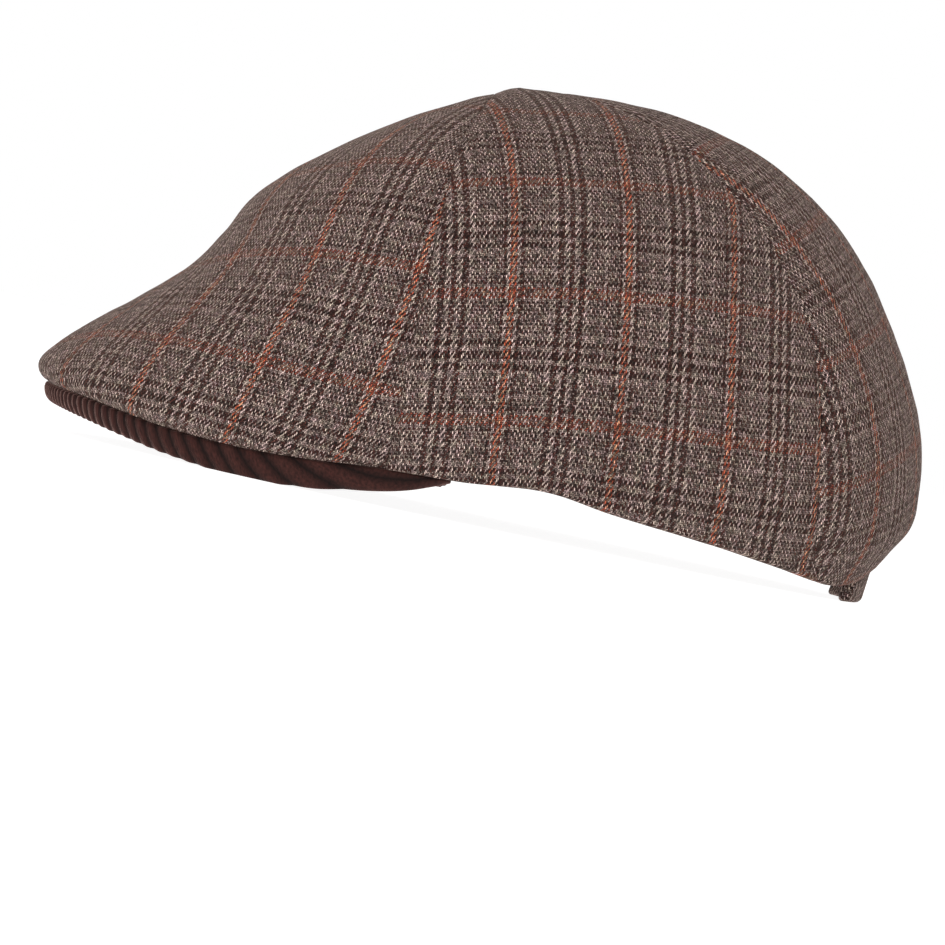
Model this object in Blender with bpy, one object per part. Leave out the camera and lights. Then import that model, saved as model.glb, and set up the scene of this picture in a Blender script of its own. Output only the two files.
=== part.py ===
"""A flat cap of checked wool cloth, with a duckbill front that runs over the peak in one sweep.

The crown is six cloth panels, three on each side of a seam from the peak's tip to the back hem.
A corduroy-covered peak board lies under the front panels, and a short band closes the back hem.
Metres, +Z up. The peak points to -Y, and the wearer's left is +X. The cap stands on z = 0.
"""

import math

import bpy
from mathutils import Vector

# The outside of the cap, measured from the upright line through the crown's apex
PEAK_REACH = 0.1276
BACK_REACH = 0.1474
HALF_WIDTH = 0.0975
CROWN_HEIGHT = 0.1363

# How square the outline is seen from above: 2 is an ellipse, and more is fuller
FRONT_FULLNESS = 2.08
BACK_FULLNESS = 2.05

# Seams, hem and cloth, and the step in angle and level that the skin's directions are taken over
CLOTH = 0.0020
HEM_CLOTH = 0.0030
SEAM_GAP = 0.0004
PIECE_GAP = 0.0003
SURFACE_STEP = 0.001

# The peak's padded board in its corduroy cover. Its free edge lies along the forehead. The padding
# fills the roll of cloth at the peak's edge: most at the tip, and the least share of it at the temple
FOREHEAD_REACH = 0.0740
FOREHEAD_RISE = 0.0380
FOREHEAD_CURVE = 1.5
BOARD = 0.0050
BOARD_BOW = 0.0020
PADDED_LEVELS = 3.0
PADDED_LEAST = 0.08
PADDING_POWER = 3
PADDING_GAP = 0.0006

# The lip that the corduroy rolls up to the cloth's edge, from its notch there to its underside, and
# its height round the peak: the angle from the tip, in degrees, and a share of LIP_HEIGHT
LIP_HEIGHT = 0.0083
LIP_NOTCH = 0.0016
LIP_BULGE = 0.0014
LIP_DEPTH = 0.0034
LIP_ROWS = (
    (0.0, 0.61),
    (16.0, 0.65),
    (32.0, 0.77),
    (50.0, 0.88),
    (62.0, 0.99),
    (72.0, 1.00),
    (78.0, 0.93),
    (84.0, 0.78),
    (88.0, 0.55),
    (92.0, 0.12),
)
PEAK_END = LIP_ROWS[-1][0]

# The band under the back hem, a fold of cloth whose foot leans in
BAND_WALL = 0.0042
BAND_SET_BACK = 0.0006
BAND_LEAN = 0.0010
BAND_ROUNDING = 0.0012
BAND_END = 16.0

# One row for each level of the crown, from the apex down to the rim. "out" and "up" are where the
# level crosses the middle of the front, the side and the middle of the back, as shares of
# PEAK_REACH, HALF_WIDTH, BACK_REACH and CROWN_HEIGHT. "seam_front" is the seam between the front
# and side panels as a share of the level's own reach to the front, and "seam_back" the seam between
# the side and back panels as a share of its own reach to the back.
LEVEL_COLUMNS = (
    "front_out", "front_up", "side_out", "side_up", "back_out", "back_up", "seam_front", "seam_back",
)
LEVEL_ROWS = (
    (0.051, 0.951, 0.000, 0.981, 0.050, 0.985, 0.990, 1.000),
    (0.137, 0.912, 0.240, 0.965, 0.190, 0.994, 0.398, 0.720),
    (0.274, 0.841, 0.470, 0.922, 0.366, 0.986, 0.264, 0.690),
    (0.404, 0.757, 0.670, 0.845, 0.533, 0.942, 0.248, 0.710),
    (0.509, 0.678, 0.815, 0.745, 0.685, 0.846, 0.216, 0.743),
    (0.582, 0.599, 0.905, 0.633, 0.797, 0.731, 0.191, 0.762),
    (0.630, 0.511, 0.958, 0.520, 0.882, 0.604, 0.177, 0.774),
    (0.694, 0.426, 0.987, 0.415, 0.945, 0.483, 0.160, 0.767),
    (0.788, 0.343, 1.000, 0.318, 0.984, 0.371, 0.141, 0.761),
    (0.889, 0.263, 0.992, 0.232, 1.000, 0.260, 0.125, 0.766),
    (0.965, 0.197, 0.968, 0.165, 0.996, 0.191, 0.115, 0.783),
    (1.000, 0.145, 0.928, 0.112, 0.964, 0.130, 0.111, 0.822),
    (0.980, 0.101, 0.895, 0.078, 0.938, 0.082, 0.114, 0.872),
)
RIM_LEVEL = len(LEVEL_ROWS) - 1

# How the heights of a level blend round the cap: the power of the angle's cosine. Near the apex the
# blend is almost a slanting plane, and from BLEND_LEVEL down it is level where it meets the side
TOP_BLEND = 1.15
LOW_BLEND = 2.0
BLEND_LEVEL = 5.0

# The rim's height round the cap: the angle from the tip, in degrees, and a share of CROWN_HEIGHT
RIM_ROWS = (
    (0.0, 0.101),
    (28.0, 0.087),
    (40.0, 0.0735),
    (50.0, 0.060),
    (62.0, 0.0535),
    (72.0, 0.059),
    (84.0, 0.076),
    (93.0, 0.085),
    (103.0, 0.102),
    (112.0, 0.084),
    (124.0, 0.069),
    (136.0, 0.049),
    (149.0, 0.0285),
    (155.0, 0.0275),
    (161.0, 0.039),
    (170.0, 0.070),
    (180.0, 0.082),
)
RIM_FADE_LEVEL = 7.0

# The cloth's turned-in hem, in levels: where it is full and how far it fades above that. The peak
# makes room for it from some degrees before the seam. The panels start just below the apex
HEM_FULL_LEVELS = 0.5
HEM_LEVELS = 2.0
HEM_ROOM = 4.0
PANEL_START = 0.06
SIDE_START = 0.02

# Facets: columns across each panel, rows down it, which crowd towards the rim where this power is
# over 1, and stations and steps round the other pieces
FRONT_COLUMNS, SIDE_COLUMNS, BACK_COLUMNS = 11, 13, 6
PANEL_ROWS = 22
ROW_CROWDING = 1.3
PEAK_STATIONS = 36
BOARD_STEPS = 5
LIP_STEPS = 5
EDGE_STEPS = 3
BAND_STATIONS = 10
SHARP_ANGLE = 40.0

CLOTH_COLOUR = (0.105, 0.070, 0.058)
CLOTH_ROUGHNESS = 0.85
CORDUROY_COLOUR = (0.050, 0.022, 0.019)
CORDUROY_ROUGHNESS = 0.90


def smooth(rows, at):
    """The value at a place between (place, value) rows, on a smooth curve through them."""
    last = len(rows) - 1
    i = 0
    while i < last - 1 and at > rows[i + 1][0]:
        i += 1

    def slope(k):
        low, high = max(k - 1, 0), min(k + 1, last)
        return (rows[high][1] - rows[low][1]) / (rows[high][0] - rows[low][0])

    (x0, y0), (x1, y1) = rows[i], rows[i + 1]
    width = x1 - x0
    f = (at - x0) / width
    rise = y1 - y0
    a = slope(i) * width - rise
    b = rise - slope(i + 1) * width
    return y0 + rise * f + f * (1 - f) * (a * (1 - f) + b * f)


def level_value(column, level):
    index = LEVEL_COLUMNS.index(column)
    return smooth([(k, row[index]) for k, row in enumerate(LEVEL_ROWS)], level)


def ease(share):
    share = min(max(share, 0.0), 1.0)
    return share * share * (3 - 2 * share)


def blended_height(angle, level):
    """The height of the crown before the rim's own rise and fall."""
    end = "front_up" if angle < math.pi / 2 else "back_up"
    blend = TOP_BLEND + (LOW_BLEND - TOP_BLEND) * ease(level / BLEND_LEVEL)
    along = abs(math.cos(angle)) ** blend
    return level_value(end, level) * along + level_value("side_up", level) * (1 - along)


def skin(angle, level):
    """A point on the outside of the cap's left half. The angle goes from 0 at the tip to pi at the back."""
    c, s = abs(math.cos(angle)), max(math.sin(angle), 0.0)
    if angle < math.pi / 2:
        reach, fullness = -PEAK_REACH * level_value("front_out", level), FRONT_FULLNESS
    else:
        reach, fullness = BACK_REACH * level_value("back_out", level), BACK_FULLNESS
    rim = smooth(RIM_ROWS, math.degrees(angle)) - blended_height(angle, RIM_LEVEL)
    fade = ease((level - RIM_FADE_LEVEL) / (RIM_LEVEL - RIM_FADE_LEVEL))
    return Vector((
        SEAM_GAP / 2 + HALF_WIDTH * level_value("side_out", level) * s ** (2 / fullness),
        reach * c ** (2 / fullness),
        CROWN_HEIGHT * (blended_height(angle, level) + rim * fade),
    ))


def seam_angle_front(level):
    share = min(level_value("seam_front", level), 1.0)
    return math.acos(share ** (FRONT_FULLNESS / 2))


def seam_angle_back(level):
    share = min(level_value("seam_back", level), 1.0)
    return math.pi - math.acos(share ** (BACK_FULLNESS / 2))


def directions(angle, level):
    """Unit vectors on the skin: out of the cap, and down along the cloth towards the rim."""
    step = SURFACE_STEP
    angle = min(max(angle, step), math.pi - step)
    level = min(max(level, step), RIM_LEVEL - step)
    around = skin(angle + step, level) - skin(angle - step, level)
    down = skin(angle, level + step) - skin(angle, level - step)
    return down.cross(around).normalized(), down.normalized()


def mirrored(points):
    return [Vector((-p.x, p.y, p.z)) for p in points]


def add_solid(name, points, faces, colour, roughness):
    """A named object with its own material, from points and faces that point out."""
    mesh = bpy.data.meshes.new(name)
    mesh.from_pydata([tuple(p) for p in points], [], faces)
    mesh.update()
    mesh.shade_smooth()
    mesh.set_sharp_from_angle(angle=math.radians(SHARP_ANGLE))
    material = bpy.data.materials.new(name)
    material.use_nodes = True
    shader = material.node_tree.nodes["Principled BSDF"]
    shader.inputs["Base Color"].default_value = (*colour, 1.0)
    shader.inputs["Roughness"].default_value = roughness
    mesh.materials.append(material)
    solid = bpy.data.objects.new(name, mesh)
    bpy.context.scene.collection.objects.link(solid)
    return solid


def sheet_faces(columns, rows):
    """The faces of a closed sheet whose outer grid comes first and whose inner grid follows it."""
    wide = columns + 1
    inner = wide * (rows + 1)
    faces = []
    for j in range(rows):
        for i in range(columns):
            a = j * wide + i
            faces.append((a, a + wide, a + wide + 1, a + 1))
            faces.append((inner + a, inner + a + 1, inner + a + wide + 1, inner + a + wide))
    rim = [i for i in range(wide)]
    rim += [j * wide + columns for j in range(1, rows + 1)]
    rim += [rows * wide + i for i in range(columns - 1, -1, -1)]
    rim += [j * wide for j in range(rows - 1, 0, -1)]
    for a, b in zip(rim, rim[1:] + rim[:1]):
        faces.append((a, b, inner + b, inner + a))
    return faces


def cloth_at(level, hemmed):
    if not hemmed:
        return CLOTH
    full = RIM_LEVEL - HEM_FULL_LEVELS
    return CLOTH + (HEM_CLOTH - CLOTH) * ease(1 - (full - level) / HEM_LEVELS)


def under_cloth(angle, level, hemmed, gap=0.0):
    """A point on the inside of the cloth, or a gap further in."""
    return skin(angle, level) - directions(angle, level)[0] * (cloth_at(level, hemmed) + gap)


def panel_points(first, last, columns, start, gap_first, gap_last, hemmed):
    """The outer grid, then the inner grid, of a panel between two seam angles with their gaps."""
    outer, inner = [], []
    for j in range(PANEL_ROWS + 1):
        level = RIM_LEVEL - (RIM_LEVEL - start) * (1 - j / PANEL_ROWS) ** ROW_CROWDING
        low, high = first(level), last(level)
        line = [skin(low + (high - low) * k / columns, level) for k in range(columns + 1)]
        width = sum((q - p).length for p, q in zip(line, line[1:]))
        low, high = low + (high - low) * gap_first / width, high - (high - low) * gap_last / width
        for i in range(columns + 1):
            angle = low + (high - low) * i / columns
            outer.append(skin(angle, level))
            inner.append(under_cloth(angle, level, hemmed))
    for p in inner:
        p.x = max(p.x, SEAM_GAP / 2)
    return outer + inner


def add_panels(kind, first, last, columns, start, gap_first, gap_last, hemmed):
    points = panel_points(first, last, columns, start, gap_first, gap_last, hemmed)
    faces = sheet_faces(columns, PANEL_ROWS)
    add_solid(kind + "_left", points, faces, CLOTH_COLOUR, CLOTH_ROUGHNESS)
    turned = [tuple(reversed(f)) for f in faces]
    add_solid(kind + "_right", mirrored(points), turned, CLOTH_COLOUR, CLOTH_ROUGHNESS)


def lip_arc(angle, hemmed):
    """The lip from its underside up to the notch at the cloth's edge, then the corner behind that edge."""
    rim = skin(angle, RIM_LEVEL)
    out, down = directions(angle, RIM_LEVEL)
    level_out = Vector((out.x, out.y, 0)).normalized()
    notch = rim + down * PIECE_GAP - out * LIP_NOTCH
    height = LIP_HEIGHT * smooth(LIP_ROWS, math.degrees(angle))
    arc = []
    for k in range(LIP_STEPS, -1, -1):
        turn = math.pi * k / LIP_STEPS
        fall = (1 - math.cos(turn)) / 2
        inward = (LIP_DEPTH - LIP_NOTCH) * fall - LIP_BULGE * math.sin(turn)
        arc.append(notch - level_out * inward - Vector((0, 0, height * fall)))
    behind = cloth_at(RIM_LEVEL, hemmed) + PADDING_GAP
    return arc + [rim + down * PIECE_GAP - out * behind]


def peak_section(angle):
    """The padded board's outline at an angle from the tip, anticlockwise seen from its right."""
    hemmed = angle > seam_angle_front(RIM_LEVEL) - math.radians(HEM_ROOM)
    arc = lip_arc(angle, hemmed)
    c, s = math.cos(angle), math.sin(angle)
    ahead = max(c, 0.0)
    padded = PADDED_LEVELS * (ahead ** PADDING_POWER + PADDED_LEAST)
    padding = [
        under_cloth(angle, RIM_LEVEL - padded * k / EDGE_STEPS, hemmed, PADDING_GAP)
        for k in range(1, EDGE_STEPS + 1)
    ]
    board = BOARD * (1 + smooth(LIP_ROWS, math.degrees(angle))) / 2
    temple = skin(math.pi / 2, RIM_LEVEL)
    edge = Vector((
        (temple.x - HEM_CLOTH - BOARD) * s,
        -FOREHEAD_REACH * c,
        temple.z - PIECE_GAP - board / 2 + FOREHEAD_RISE * ahead ** FOREHEAD_CURVE,
    ))
    along = (edge - arc[0]).normalized()
    across = along.cross(Vector((-c, -s, 0))).normalized()
    middle = edge + across * board / 2
    free_edge = []
    for k in range(EDGE_STEPS + 1):
        turn = math.pi * k / EDGE_STEPS
        free_edge.append(middle + (across * math.cos(turn) + along * math.sin(turn)) * board / 2)
    underside = []
    for k in range(BOARD_STEPS - 1, 0, -1):
        f = k / BOARD_STEPS
        bow = Vector((0, 0, BOARD_BOW * 4 * f * (1 - f) * c))
        underside.append(arc[0].lerp(edge, f) + bow)
    outline = padding + free_edge + underside + arc
    return [Vector((p.x, p.y, max(p.z, 0.0))) for p in outline]


def loft_faces(sections, size):
    """The faces of a solid through closed outlines, each anticlockwise to someone looking along them."""
    faces = []
    for j in range(sections - 1):
        for i in range(size):
            a, b = j * size + i, j * size + (i + 1) % size
            faces.append((a, a + size, b + size, b))
    faces.append(tuple(range(size)))
    faces.append(tuple((sections - 1) * size + i for i in range(size - 1, -1, -1)))
    return faces


def add_loft(name, section, end, stations, colour, roughness):
    """A piece through the sections at angles from -end to end, whose right half mirrors its left half."""
    points, size = [], 0
    for k in range(stations + 1):
        angle = math.radians(end) * (2 * k / stations - 1)
        outline = section(abs(angle))
        size = len(outline)
        points += mirrored(outline) if angle < 0 else outline
    add_solid(name, points, loft_faces(stations + 1, size), colour, roughness)


def band_section(turn):
    """The band's outline at an angle from the middle of the back, anticlockwise seen from its right."""
    rim = skin(math.pi - turn, RIM_LEVEL)
    normal = directions(math.pi - turn, RIM_LEVEL)[0]
    out = Vector((normal.x, normal.y, 0)).normalized()
    high = Vector((rim.x, rim.y, rim.z - PIECE_GAP))
    foot = Vector((rim.x, rim.y, 0)) - out * BAND_LEAN
    rounding = min(BAND_ROUNDING, high.z / 2)
    outline = [high - out * BAND_SET_BACK]
    for k in range(EDGE_STEPS + 1):
        a = math.pi / 2 * k / EDGE_STEPS
        inward = BAND_SET_BACK + rounding * (1 - math.cos(a))
        outline.append(foot - out * inward + Vector((0, 0, rounding * (1 - math.sin(a)))))
    return outline + [foot - out * BAND_WALL, high - out * BAND_WALL]


def stand_on_floor():
    """Moves every solid alike: the cap is centred over the origin, with its lowest point at z = 0."""
    corners = [v.co for solid in bpy.data.objects for v in solid.data.vertices]
    middle = (min(p.y for p in corners) + max(p.y for p in corners)) / 2
    lowest = min(p.z for p in corners)
    for solid in bpy.data.objects:
        solid.location = (0, -middle, -lowest)


def main():
    for old in list(bpy.data.objects):
        bpy.data.objects.remove(old)
    half = SEAM_GAP / 2
    front, back = seam_angle_front, seam_angle_back
    add_panels("front_panel", lambda v: 0.0, front, FRONT_COLUMNS, PANEL_START, 0.0, half, False)
    add_panels("side_panel", front, back, SIDE_COLUMNS, SIDE_START, half, half, True)
    add_panels("back_panel", back, lambda v: math.pi, BACK_COLUMNS, PANEL_START, half, 0.0, True)
    corduroy = (CORDUROY_COLOUR, CORDUROY_ROUGHNESS)
    add_loft("peak_underside", peak_section, PEAK_END, PEAK_STATIONS, *corduroy)
    add_loft("back_band", band_section, BAND_END, BAND_STATIONS, CLOTH_COLOUR, CLOTH_ROUGHNESS)
    stand_on_floor()


main()
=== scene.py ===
"""The looks of a flat cap: glen check wool panels and a corduroy-covered peak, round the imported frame.

Metres, +Z up. The peak points to -Y and the wearer's left is +X, as in the frame. The panels follow
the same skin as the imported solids, with finer grids, rolled seams, puckers and cloth waves.
"""

import math

import bpy
import numpy as np
from mathutils import Matrix, Vector, noise


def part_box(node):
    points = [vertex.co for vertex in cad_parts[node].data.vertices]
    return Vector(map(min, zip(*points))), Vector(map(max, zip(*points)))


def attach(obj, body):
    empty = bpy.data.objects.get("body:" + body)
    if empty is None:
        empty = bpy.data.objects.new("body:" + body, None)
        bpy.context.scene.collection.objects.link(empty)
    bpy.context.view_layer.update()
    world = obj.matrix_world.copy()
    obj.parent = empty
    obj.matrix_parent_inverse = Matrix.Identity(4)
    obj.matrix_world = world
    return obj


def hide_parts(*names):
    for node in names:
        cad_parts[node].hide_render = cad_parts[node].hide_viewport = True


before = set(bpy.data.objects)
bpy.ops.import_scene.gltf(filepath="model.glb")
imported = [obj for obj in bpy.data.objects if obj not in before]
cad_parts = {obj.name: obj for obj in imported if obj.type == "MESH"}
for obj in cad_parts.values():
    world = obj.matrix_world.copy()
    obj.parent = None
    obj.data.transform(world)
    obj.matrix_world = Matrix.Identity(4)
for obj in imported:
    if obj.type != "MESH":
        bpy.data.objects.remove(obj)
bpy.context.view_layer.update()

# The skin, as in the part's source: lengths from the upright line through the crown's apex
PEAK_REACH, BACK_REACH, HALF_WIDTH, CROWN_HEIGHT = 0.1276, 0.1474, 0.0975, 0.1363
FRONT_FULLNESS, BACK_FULLNESS = 2.08, 2.05
TOP_BLEND, LOW_BLEND, BLEND_LEVEL = 1.15, 2.0, 5.0
RIM_LEVEL, RIM_FADE_LEVEL = 12.0, 7.0
CLOTH, HEM_CLOTH = 0.0020, 0.0030
HEM_FULL_LEVELS, HEM_LEVELS, HEM_ROOM = 0.5, 2.0, 4.0

# A row for each level from the apex down to the rim. The columns are how far out and up the skin is at
# the front, the side and the back, as shares of those lengths, and how far out the two seams lie, as
# shares of the level's own reach
FRONT_OUT, FRONT_UP, SIDE_OUT, SIDE_UP, BACK_OUT, BACK_UP, SEAM_FRONT, SEAM_BACK = range(8)
LEVELS = np.array((
    (0.051, 0.951, 0.000, 0.981, 0.050, 0.985, 0.990, 1.000),
    (0.137, 0.912, 0.240, 0.965, 0.190, 0.994, 0.398, 0.720),
    (0.274, 0.841, 0.470, 0.922, 0.366, 0.986, 0.264, 0.690),
    (0.404, 0.757, 0.670, 0.845, 0.533, 0.942, 0.248, 0.710),
    (0.509, 0.678, 0.815, 0.745, 0.685, 0.846, 0.216, 0.743),
    (0.582, 0.599, 0.905, 0.633, 0.797, 0.731, 0.191, 0.762),
    (0.630, 0.511, 0.958, 0.520, 0.882, 0.604, 0.177, 0.774),
    (0.694, 0.426, 0.987, 0.415, 0.945, 0.483, 0.160, 0.767),
    (0.788, 0.343, 1.000, 0.318, 0.984, 0.371, 0.141, 0.761),
    (0.889, 0.263, 0.992, 0.232, 1.000, 0.260, 0.125, 0.766),
    (0.965, 0.197, 0.968, 0.165, 0.996, 0.191, 0.115, 0.783),
    (1.000, 0.145, 0.928, 0.112, 0.964, 0.130, 0.111, 0.822),
    (0.980, 0.101, 0.895, 0.078, 0.938, 0.082, 0.114, 0.872),
))

# The rim's height round the cap: degrees from the tip, and shares of the crown's height
RIM = np.array((
    (0.0, 0.101), (28.0, 0.087), (40.0, 0.0735), (50.0, 0.060), (62.0, 0.0535), (72.0, 0.059),
    (84.0, 0.076), (93.0, 0.085), (103.0, 0.102), (112.0, 0.084), (124.0, 0.069), (136.0, 0.049),
    (149.0, 0.0285), (155.0, 0.0275), (161.0, 0.039), (170.0, 0.070), (180.0, 0.082),
))

# The peak, as in the part's source
PEAK_GAP = 0.0003
FOREHEAD_REACH, FOREHEAD_RISE, FOREHEAD_CURVE = 0.0740, 0.0380, 1.5
BOARD, BOARD_BOW = 0.0050, 0.0020
PADDED_LEVELS, PADDED_LEAST, PADDING_POWER, PADDING_GAP = 3.0, 0.08, 3, 0.0006
LIP_HEIGHT, LIP_NOTCH, LIP_BULGE, LIP_DEPTH = 0.0083, 0.0016, 0.0014, 0.0034
LIP = np.array((
    (0.0, 0.61), (16.0, 0.65), (32.0, 0.77), (50.0, 0.88), (62.0, 0.99), (72.0, 1.00), (78.0, 0.93),
    (84.0, 0.78), (88.0, 0.55), (92.0, 0.12),
))

# The band under the back hem, as in the part's source
BAND_WALL, BAND_SET_BACK, BAND_LEAN, BAND_ROUNDING, BAND_END = 0.0042, 0.0006, 0.0010, 0.0012, 16.0

# The cap stands centred in the frame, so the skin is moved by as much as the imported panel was
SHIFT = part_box("front_panel_left")[0].y + PEAK_REACH

# The level where each kind of panel starts. It is nearer to the apex than in the part's source, so
# that no slit shows there
PANEL_START, SIDE_START = 0.01, 0.0

# The camera: far off on the wearer's left, just above the floor, and rolled so that the peak rides up
DISTANCE, ELEVATION, ROLL = 1.6, math.radians(1.0), math.radians(12.2)
AIM = np.array((0.0, 0.0108 + SHIFT, 0.0141))
SENSOR, CLIP_END = 36.0, 50.0

# The photo's side in pixels, and what a pixel measures at the aim
PICTURE, PIXEL = 945, 0.00031

# Where the check's rust lines run in the photo, read off it: pixels along each line, by its number
WARP_LINES = {
    "front": {
        2: ((450, 187), (440, 215), (422, 260), (400, 320), (375, 385), (350, 430), (335, 460)),
        1: ((352, 172), (340, 200), (320, 250), (292, 305), (265, 357), (240, 405), (225, 437)),
        0: ((235, 255), (210, 285), (187, 317), (170, 342), (142, 380), (127, 410)),
        -1: ((85, 342), (67, 362)),
    },
    "side": {
        1: ((504, 115), (512, 180), (515, 230), (513, 295), (507, 355), (501, 420), (492, 477)),
        2: ((610, 115), (625, 185), (628, 235), (628, 295), (625, 355), (616, 427), (607, 510)),
        3: ((734, 190), (738, 245), (737, 310), (732, 370), (725, 440), (717, 535)),
        4: ((830, 360), (831, 400), (824, 450), (812, 510), (806, 565)),
    },
    "back": {
        1: (
            (690, 152), (735, 187), (770, 220), (795, 247), (820, 275), (840, 300), (855, 337), (865, 370),
            (872, 410), (876, 470), (872, 520), (865, 560),
        ),
        2: ((897, 380), (910, 420), (910, 445)),
    },
}
WEFT_LINES = {
    "front": {
        0: ((355, 164), (410, 165), (460, 167)),
        1: ((235, 252), (280, 250), (320, 254), (370, 260), (427, 266)),
        2: ((92, 332), (170, 342), (220, 350), (265, 359), (315, 372), (372, 387), (407, 394)),
    },
    "side": {
        0: ((480, 116), (610, 120)),
        1: ((450, 185), (512, 179), (570, 181), (625, 186), (690, 194), (735, 195)),
        2: ((435, 294), (512, 292), (630, 297), (738, 310), (807, 319)),
        3: ((402, 419), (501, 421), (616, 429), (725, 440), (824, 450)),
    },
    "back": {
        1: ((695, 155), (725, 142)),
        2: ((780, 250), (815, 225)),
        3: ((830, 360), (865, 347), (882, 320)),
        4: ((835, 490), (876, 472), (912, 445)),
    },
}

# How strongly the cloth keeps its size where it is laid along the traced lines, and the degree of
# the curves that lay it
STRETCH_HOLD, CHECK_DEGREE = 0.0045, 3

# The grid that is laid out flat, how many times finer the lines are looked up on it, and the rounds
# and the strength of the springs that flatten it
FLAT_ROWS, FLAT_COLUMNS, FINER = 41, 29, 8
FLATTENING_ROUNDS, SPRING_PUSH = 1200, 1.8

# How many pixels farther off a place counts that faces away, and the least that a line counts for
HIDDEN_PIXELS, LEAST_SEEN = 50.0, 0.05

# The check's repeat across and along the cloth, and its yarns from a rust line to mid-pane:
# O orange, R rust, L light, D dark, and G ground, which is light and dark by turns. It is mirrored at
# both ends
WARP_REPEAT, WEFT_REPEAT = 0.0363, 0.0400
WARP_CHART = "ORRLLLDDD" + "G" * 11 + "LL" + "G" * 11 + "LLLLL" + "DDDDD" + "LLLLL" + "DD"
WEFT_CHART = "ORRLLD" + "G" * 6 + "LL" + "G" * 8 + "LLLL" + "DDD" + "LLL" + "DD"
WARP_YARN = {
    "D": (0.058, 0.0155, 0.011, 1.0), "L": (0.488, 0.385, 0.335, 1.0), "R": (0.330, 0.066, 0.030, 1.0),
    "O": (0.580, 0.275, 0.160, 1.0), "G": (0.0, 0.0, 0.0, 0.0),
}
WEFT_YARN = {
    "D": (0.043, 0.0115, 0.008, 1.0), "L": (0.322, 0.244, 0.212, 1.0), "R": (0.260, 0.058, 0.032, 1.0),
    "O": (0.340, 0.165, 0.110, 1.0), "G": (0.0, 0.0, 0.0, 0.0),
}
# The ground: how far it goes from light to dark by turns, and a factor and a shift for chance
GROUND_TURN, GROUND_CHANCE, GROUND_SHIFT = 0.82, 0.30, -0.06

# The weave: yarns in the twill's repeat, and how many of them each yarn floats over
TWILL, FLOAT = 4.0, 2.0
# Noise sways the yarns, by so many yarns. Waves are counted for each metre of cloth
SWAY_WAVES, SWAY_DETAIL, SWAY_ROUGHNESS, WARP_SWAY, WEFT_SWAY = 500.0, 2.0, 0.6, 2.2, 1.7
# A float's rounding across and along it, and how far its twist leans it over
ROUND_ACROSS, ROUND_ALONG, TWIST = 2.0, 3.0, -0.15
# Painted shade in the weave's hollows: how bright a float is painted by its height, darker at its edges and
# ends: a power, and a factor and the least for warp and weft
PAINTED_SHADE_POWER, WARP_PAINTED_SHADE, WEFT_PAINTED_SHADE = 1.5, (1.35, 0.02), (0.72, 0.06)
# How high the weft's floats are beside the warp's, and the bump's strength and its height in metres
WEFT_HEIGHT, WEAVE_BUMP, WEAVE_BUMP_HEIGHT = 0.6, 0.7, 0.0002
# Fibres of the other yarns: a power and a factor for chance, and their colour
STRAY_POWER, STRAY_SHARE, STRAY_COLOUR = 4.0, 0.45, (0.22, 0.165, 0.14, 1.0)
# Factors and the least for each float's own shade and for the fibres in it
FLOAT_SHADE, FIBRE_SHADE, FIBRE_WAVES = (1.6, 0.25), (0.8, 0.6), 3200.0
# Patches of dyed fibres, and how they tint the cloth
PATCH_WAVES, PURPLE, OLIVE = 380.0, (1.12, 0.90, 1.12, 1.0), (0.93, 1.05, 0.84, 1.0)

# The corduroy's pile: its waves and how they stretch along the wales, its patches, and factors and
# the least for the painted shade that darkens the grooves between the ridges, and for the pile's shade
RIDGE_POWER, GROOVE_PAINTED_SHADE, PILE_SHADE = 1.6, (0.85, 0.15), (2.4, -0.2)
PILE_WAVES, PILE_DETAIL, PILE_STRETCH = 3000.0, 3.0, 0.35
CORD_PATCH_WAVES, CORD_PATCH_DETAIL = 160.0, 2.0
CORD_DARK, CORD_LIGHT = (0.030, 0.0075, 0.006, 1.0), (0.046, 0.016, 0.0125, 1.0)
PILE_RELIEF, RIDGE_RELIEF, CORD_BUMP, CORD_BUMP_HEIGHT = 0.8, 0.4, 0.7, 0.0004

# Light: the white backdrop, by the direction's x where it starts to fade and where the rest of the
# room begins, how bright that is, the low white strip round the horizon, by the direction's z, and
# how much the floor glows as a light table, its grey and how far it reaches
BACKDROP_START, BACKDROP_END, ROOM_LIGHT = -0.9, -0.3, 0.05
HORIZON_HEIGHT, HORIZON_FADE = 0.10, 0.14
FLOOR_GLOW, FLOOR_GREY, FLOOR_REACH = 0.93, 0.35, 14.0
WHITE = (1.0, 1.0, 1.0, 1.0)
# The lamps: degrees round from the cap's left towards its back, degrees up, and watts
LAMP_DISTANCE, LAMP_SIZE = 2.0, 1.0
LAMPS = (
    ("key", 0, 45, 16.0),
    ("front", -28, 14, 15.2),
    ("back", 70, 60, 7.0),
)

# Seams and cloth relief. The panels overlap by a hair where they meet, so that no light comes through
SEAM_OVERLAP = 0.00004
SEAM_ROLL, SEAM_VALLEY, SEAM_WIDTH = 0.0007, 0.0003, 0.0035
EDGE_ROLL, EDGE_TUCK, EDGE_STEPS = 0.0030, 0.0013, 6
PUCKER, PUCKER_REACH, PUCKER_LENGTH = 0.00035, 0.0080, 0.0065
WAVE, WAVE_LENGTH = 0.0006, 0.034
RIPPLE, RIPPLE_LENGTH = 0.00022, 0.011
WAVE_SEED, RIPPLE_SEED, PUCKER_SEED, WALE_SEED, BAND_SEED, SEED_STEP = 1, 2, 3, 5, 7, 17.3
# How near to a seam the waves die away, and by what share they do over the peak's board, from which
# level on and over how many
STILL_WIDTH, BOARD_CALM, CALM_LEVEL, CALM_LEVELS = 0.004, 0.6, 8, 3
# How closely a panel's grid crowds towards its seams
CROWDING = 0.9

# Corduroy: the wales run from front to back, and lean as the lip carries them up
WALE, WALE_HEIGHT, WALE_LEAN, WALE_POWER, WALE_SINK = 0.0025, 0.00045, 0.38, 1.8, 0.75
WALE_SWAY, WALE_SWAY_LENGTH = 0.00025, 0.012

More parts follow.
